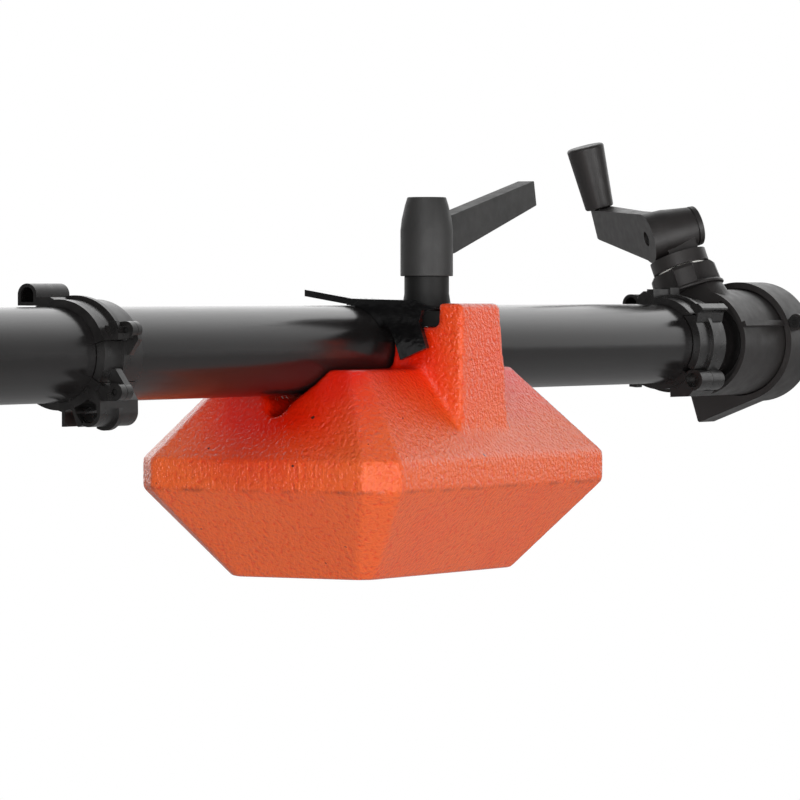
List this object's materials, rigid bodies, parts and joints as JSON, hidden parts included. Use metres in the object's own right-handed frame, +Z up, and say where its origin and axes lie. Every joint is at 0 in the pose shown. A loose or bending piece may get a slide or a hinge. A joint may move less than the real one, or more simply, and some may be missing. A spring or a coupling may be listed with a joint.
{
  "type": "lighting boom",
  "caption": "Telescopic studio lighting boom with sliding counterweight, clamping levers, rear crank that tilts the lamp head, cable clips and stand socket.",
  "frame": {"origin": "mouth of the stand socket's bore, on its axis", "axes": "+X along the level boom toward its rear end with the crank, +Z up out of the stand, -Y toward the viewer of the picture"},
  "size_m": [1.3179, 0.17, 0.247],
  "materials": {
    "cast_orange": "orange enamel on rough sand-cast iron",
    "tube_black": "black satin anodised tube",
    "tube_grey": "clear satin anodised tube",
    "satin_black": "moulded black plastic, satin",
    "nylon_grey": "dark grey glass-filled nylon, matte",
    "lever_grey": "dark grey textured powder coat on zinc",
    "blackened": "gloss black enamel on steel sheet",
    "gunmetal": "dark grey powder coat on cast aluminium",
    "steel": "turned and zinc-plated steel",
    "dark_steel": "blackened steel",
    "brass": "turned brass",
    "white_nylon": "natural acetal",
    "friction": "pressed friction lining"
  },
  "bodies": {
    "stand": {"stand_socket": "gunmetal", "pivot_bolt": "steel", "friction_discs": "friction"},
    "socket_lock": {"socket_knob": "satin_black"},
    "tilt_lock": {"tilt_lever": "lever_grey", "tilt_lever_insert": "dark_steel"},
    "boom": {"clamp_lower": "gunmetal", "clamp_upper": "gunmetal", "clamp_screws": "steel", "main_tube": "tube_black", "front_bush": "white_nylon", "extension_collar": "satin_black", "collar_screws": "dark_steel", "brake_pad": "friction", "rod_bearings": "white_nylon", "front_clip": "satin_black", "front_clip_pins": "dark_steel", "rear_clip": "satin_black", "rear_clip_pin": "dark_steel", "housing_upper": "nylon_grey", "housing_lower": "nylon_grey", "housing_screws": "dark_steel", "end_cap": "nylon_grey", "cap_screws": "dark_steel", "shaft_bush": "brass", "brake_washer": "white_nylon"},
    "extension_lock": {"extension_knob": "satin_black"},
    "extension": {"front_tube": "tube_grey", "guide_bush": "white_nylon", "sleeve_bush": "white_nylon", "head_shell_left": "gunmetal", "head_shell_right": "gunmetal", "head_screws": "dark_steel"},
    "rod": {"drive_rod": "steel", "rod_gear": "steel"},
    "sleeve": {"drive_sleeve": "steel", "worm_thread": "steel"},
    "head": {"worm_wheel": "brass", "tilt_shaft": "steel", "tilt_fork": "gunmetal", "lamp_spigot": "steel"},
    "front_latch": {"front_clip_latch": "satin_black"},
    "rear_latch": {"rear_clip_latch": "satin_black"},
    "weight": {"counterweight": "cast_orange", "saddle_plate": "blackened", "clamp_bar": "dark_steel", "lever_stud": "steel", "lever_washer": "satin_black"},
    "weight_lock": {"weight_lever": "lever_grey", "weight_lever_insert": "dark_steel"},
    "brake": {"lock_knob": "nylon_grey"},
    "crank": {"crank_shaft": "steel", "crank_pinion": "steel", "crank_hub": "nylon_grey", "crank_screw": "dark_steel"},
    "crank_fold": {"crank_arm": "nylon_grey", "grip_pin": "steel"},
    "grip": {"crank_grip": "nylon_grey"}
  },
  "joints": [
    {"name": "boom_tilt", "type": "hinge", "parent": "stand", "child": "boom", "pos_m": [0, 0, 0.092], "axis": [0, 1, 0], "range_deg": [-65, 65]},
    {"name": "tilt_lock_turn", "type": "hinge", "parent": "stand", "child": "tilt_lock", "pos_m": [0, 0.05, 0.092], "axis": [0, 1, 0], "range_deg": [-60, 100]},
    {"name": "socket_lock_turn", "type": "hinge", "parent": "stand", "child": "socket_lock", "pos_m": [0, 0.035, 0.03025], "axis": [0, 1, 0], "range_deg": [-180, 180]},
    {"name": "extension_slide", "type": "slide", "parent": "boom", "child": "extension", "axis": [-1, 0, 0], "range_m": [0, 0.34]},
    {"name": "extension_lock_turn", "type": "hinge", "parent": "boom", "child": "extension_lock", "pos_m": [-0.312, 0.036, 0.142], "axis": [0, 1, 0], "range_deg": [-180, 180]},
    {"name": "crank_turn", "type": "hinge", "parent": "boom", "child": "crank", "pos_m": [0.8096, 0, 0.142], "axis": [0, 0.3518, 0.9361], "range_deg": [-1800, 1500]},
    {"name": "rod_turn", "type": "hinge", "parent": "boom", "child": "rod", "pos_m": [0.6, 0, 0.142], "axis": [1, 0, 0], "range_deg": [-1800, 1500]},
    {"name": "sleeve_turn", "type": "hinge", "parent": "extension", "child": "sleeve", "pos_m": [-0.4, 0, 0.142], "axis": [1, 0, 0], "range_deg": [-1800, 1500]},
    {"name": "head_tilt", "type": "hinge", "parent": "extension", "child": "head", "pos_m": [-0.412, 0, 0.115], "axis": [0, 1, 0], "range_deg": [-75, 90]},
    {"name": "crank_fold", "type": "hinge", "parent": "crank", "child": "crank_fold", "pos_m": [0.8096, 0.02122, 0.19844], "axis": [0.6896, -0.6779, 0.2548], "range_deg": [-16, 74]},
    {"name": "grip_spin", "type": "hinge", "parent": "crank_fold", "child": "grip", "pos_m": [0.85913, 0.08795, 0.21209], "axis": [-0.1996, 0.1603, 0.9667], "continuous": true},
    {"name": "brake_turn", "type": "hinge", "parent": "boom", "child": "brake", "pos_m": [0.8096, 0.01196, 0.17383], "axis": [0, 0.3518, 0.9361], "range_deg": [0, 90]},
    {"name": "weight_slide", "type": "slide", "parent": "boom", "child": "weight", "axis": [1, 0, 0], "range_m": [-0.11, 0.145]},
    {"name": "weight_lock_turn", "type": "hinge", "parent": "weight", "child": "weight_lock", "pos_m": [0.4748, -0.026, 0.175], "axis": [0, 0, 1], "range_deg": [0, 120]},
    {"name": "front_latch_open", "type": "hinge", "parent": "boom", "child": "front_latch", "pos_m": [0.2247, -0.0275, 0.1268], "axis": [1, 0, 0], "range_deg": [0, 110]},
    {"name": "rear_latch_open", "type": "hinge", "parent": "boom", "child": "rear_latch", "pos_m": [0.7695, -0.0194, 0.1238], "axis": [1, 0, 0], "range_deg": [0, 110]}
  ],
  "couplings": [
    {"joint": "rod_turn", "follows": "crank_turn", "ratio": 1},
    {"joint": "sleeve_turn", "follows": "crank_turn", "ratio": 1},
    {"joint": "head_tilt", "follows": "crank_turn", "ratio": -0.05}
  ]
}
